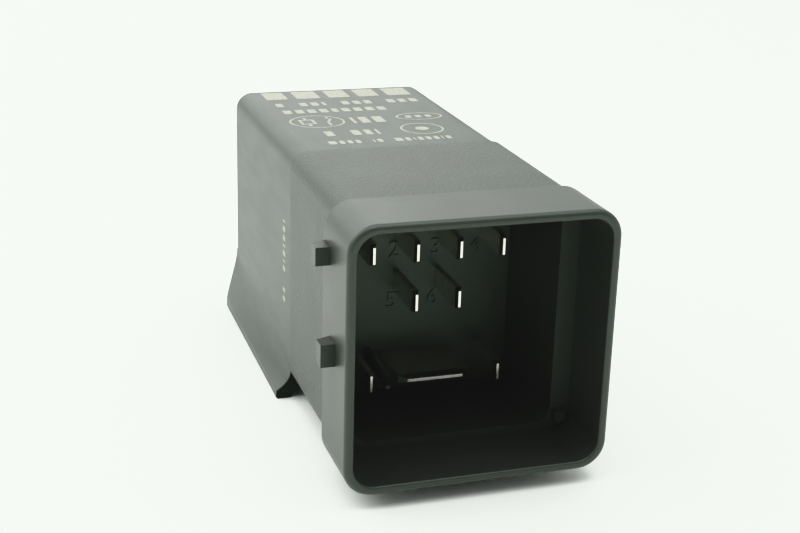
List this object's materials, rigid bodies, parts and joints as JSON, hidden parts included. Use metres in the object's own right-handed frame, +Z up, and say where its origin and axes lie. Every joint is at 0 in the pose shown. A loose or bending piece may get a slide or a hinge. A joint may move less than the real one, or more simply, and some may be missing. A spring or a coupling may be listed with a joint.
{
  "type": "plug-in relay",
  "caption": "Plug-in control relay: deep square plug collar round its blade terminals, textured base, smooth rear cover on a flared mounting foot, circuit board and clapper relay inside.",
  "frame": {"origin": "bottom centre of the relay, on the plane its foot rails stand on", "axes": "+Y from the open plug collar to the back of the cover, +Z up to the marked top, +X across"},
  "size_m": [0.037, 0.071, 0.0355],
  "materials": {
    "base_plastic": "spark-textured body, smooth collar",
    "cover_plastic": "smooth satin",
    "gasket_rubber": "matt",
    "terminal_tin": "tin plated",
    "contact_silver": "satin silver alloy",
    "board_laminate": "green solder mask",
    "relay_iron": "zinc plated",
    "bobbin_plastic": "natural",
    "copper_wire": "enamelled winding wire",
    "spring_bronze": "rolled strip",
    "chip_epoxy": "moulded epoxy",
    "solder_tin": "bright",
    "capacitor_sleeve": "shrunk sleeve",
    "resistor_body": "lacquered",
    "ceramic_body": "fired ceramic",
    "marking_ink": "pad-printed"
  },
  "bodies": {
    "housing": {"base_housing": "base_plastic", "rear_cover": "cover_plastic", "seam_gasket": "gasket_rubber", "supply_blade": "terminal_tin", "fixed_contact": "contact_silver", "circuit_board": "board_laminate", "relay_yoke": "relay_iron", "relay_core": "relay_iron", "coil_bobbin": "bobbin_plastic", "coil_winding": "copper_wire", "coil_pins": "solder_tin", "yoke_studs": "relay_iron", "hinge_spring": "spring_bronze", "hinge_rivets": "relay_iron", "timer_chip": "chip_epoxy", "chip_leads": "solder_tin", "smoothing_capacitor": "capacitor_sleeve", "resistors": "resistor_body", "flyback_diode": "chip_epoxy", "driver_transistor": "chip_epoxy", "ceramic_capacitors": "ceramic_body", "sense_shunt": "spring_bronze", "small_blade_1": "terminal_tin", "small_blade_2": "terminal_tin", "small_blade_3": "terminal_tin", "small_blade_4": "terminal_tin", "small_blade_5": "terminal_tin", "small_blade_6": "terminal_tin", "small_blade_7": "terminal_tin", "small_blade_8": "terminal_tin"},
    "armature_assembly": {"armature": "relay_iron", "contact_spring": "spring_bronze", "moving_contact": "contact_silver", "armature_rivets": "relay_iron"}
  },
  "joints": [
    {"name": "armature_pivot", "type": "hinge", "parent": "housing", "child": "armature_assembly", "pos_m": [0, 0.0057, 0.0209], "axis": [1, 0, 0], "range_deg": [0, 4.5], "stiffness_Nm_per_rad": 0.02, "springref_deg": -5.73}
  ]
}
